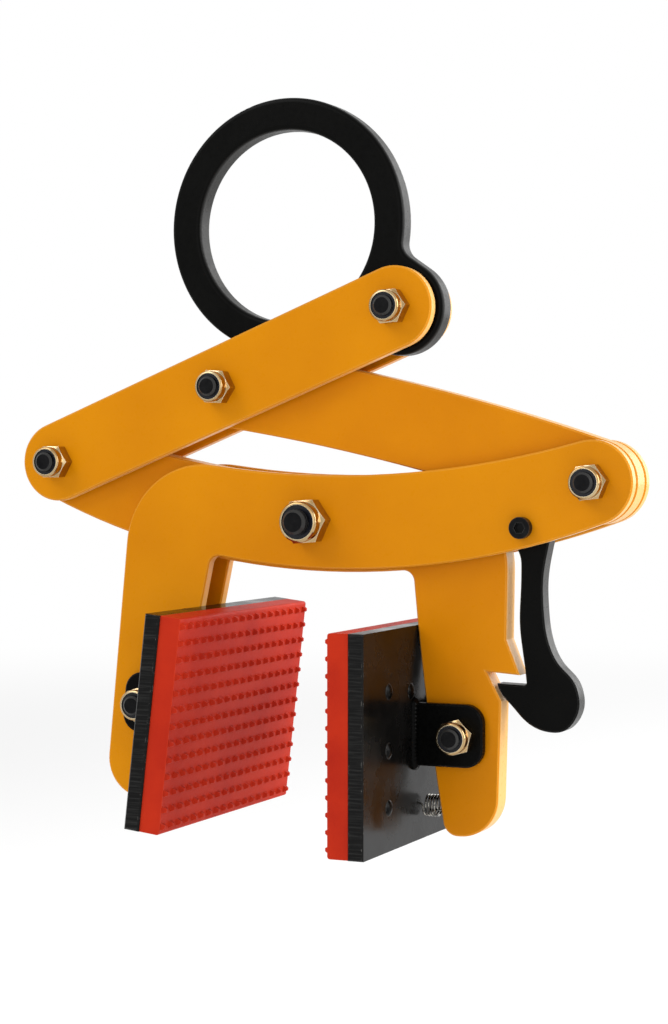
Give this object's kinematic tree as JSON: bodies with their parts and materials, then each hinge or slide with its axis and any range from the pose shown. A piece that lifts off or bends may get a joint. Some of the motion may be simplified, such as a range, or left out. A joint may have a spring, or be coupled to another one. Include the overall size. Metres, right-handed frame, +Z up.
{
  "type": "lifting tongs",
  "caption": "Scissor lifting tongs for stone slabs: a lifting ring on pivoted links closes two bent jaws with tilting rubber-faced pads, held open by a hooked latch.",
  "frame": {"origin": "middle of the lifting ring's eye", "axes": "+Z up, +X towards the latch side, +Y along the pivot bolts from the nuts to the bolt heads"},
  "size_m": [0.2694, 0.12, 0.2998],
  "materials": {
    "orange_paint": "semi-gloss orange stoving paint on cut steel plate",
    "black_paint": "gloss black paint",
    "black_steel": "black oxide",
    "zinc_steel": "yellow zinc plating",
    "black_nylon": "moulded nylon",
    "red_rubber": "moulded hard rubber",
    "spring_steel": "oiled spring wire"
  },
  "bodies": {
    "ring": {"lifting_ring": "black_paint"},
    "upper_link": {"upper_link_front": "orange_paint", "upper_link_rear": "orange_paint", "upper_link_bolts": "black_steel", "upper_link_nuts": "zinc_steel", "upper_link_nylon_rings": "black_nylon", "upper_link_washers": "zinc_steel"},
    "right_jaw": {"right_jaw": "orange_paint"},
    "left_jaw": {"left_jaw_front": "orange_paint", "left_jaw_rear": "orange_paint", "main_pivot_bolt": "black_steel", "main_pivot_nut": "zinc_steel", "main_pivot_nylon_ring": "black_nylon", "main_pivot_washers": "zinc_steel", "arm_end_bolt": "black_steel", "arm_end_nut": "zinc_steel", "arm_end_nylon_ring": "black_nylon", "arm_end_washers": "zinc_steel", "hook_screw": "black_steel", "hook_nut": "zinc_steel", "hook_nylon_ring": "black_nylon", "hook_spacers": "zinc_steel", "left_leg_tube": "zinc_steel", "left_spring_block": "orange_paint"},
    "diagonal": {"diagonal_link": "orange_paint"},
    "hook": {"hook_lever": "black_paint"},
    "right_pad": {"right_pad_plate": "black_paint", "right_pad_rubber": "red_rubber", "right_pad_ears": "black_paint", "right_pad_rivets": "black_paint", "right_pad_bolt": "black_steel", "right_pad_nut": "zinc_steel", "right_pad_nylon_ring": "black_nylon", "right_pad_spring": "spring_steel"},
    "left_pad": {"left_pad_plate": "black_paint", "left_pad_rubber": "red_rubber", "left_pad_ears": "black_paint", "left_pad_rivets": "black_paint", "left_pad_bolt": "black_steel", "left_pad_nut": "zinc_steel", "left_pad_nylon_ring": "black_nylon", "left_pad_spring": "spring_steel"}
  },
  "joints": [
    {"name": "ring_swing", "type": "hinge", "parent": "ring", "child": "upper_link", "pos_m": [0.05028, 0, -0.03472], "axis": [0, -1, 0], "range_deg": [0, 120]},
    {"name": "right_jaw_turn", "type": "hinge", "parent": "upper_link", "child": "right_jaw", "pos_m": [-0.10384, 0, -0.0964], "axis": [0, 1, 0], "range_deg": [0, 43.5]},
    {"name": "jaw_close", "type": "hinge", "parent": "right_jaw", "child": "left_jaw", "pos_m": [0.01375, 0, -0.12032], "axis": [0, -1, 0], "range_deg": [0, 40]},
    {"name": "diagonal_turn", "type": "hinge", "parent": "left_jaw", "child": "diagonal", "pos_m": [0.13264, 0, -0.10404], "axis": [0, 1, 0], "range_deg": [0, 30.5]},
    {"name": "hook_release", "type": "hinge", "parent": "left_jaw", "child": "hook", "pos_m": [0.10471, 0, -0.12176], "axis": [0, -1, 0], "range_deg": [0, 79]},
    {"name": "right_pad_tilt", "type": "hinge", "parent": "right_jaw", "child": "right_pad", "pos_m": [0.07785, 0, -0.20452], "axis": [0, -1, 0], "range_deg": [0, 17.3], "deforming": ["right_pad_spring"]},
    {"name": "left_pad_tilt", "type": "hinge", "parent": "left_jaw", "child": "left_pad", "pos_m": [-0.05947, 0, -0.19673], "axis": [0, 1, 0], "range_deg": [0, 17.3], "deforming": ["left_pad_spring"]}
  ],
  "couplings": [
    {"joint": "right_jaw_turn", "follows": "jaw_close", "ratio": 1.07},
    {"joint": "diagonal_turn", "follows": "jaw_close", "ratio": 0.75},
    {"joint": "hook_release", "follows": "jaw_close", "ratio": 1.95},
    {"joint": "right_pad_tilt", "follows": "jaw_close", "ratio": 0.42},
    {"joint": "left_pad_tilt", "follows": "jaw_close", "ratio": 0.42}
  ]
}
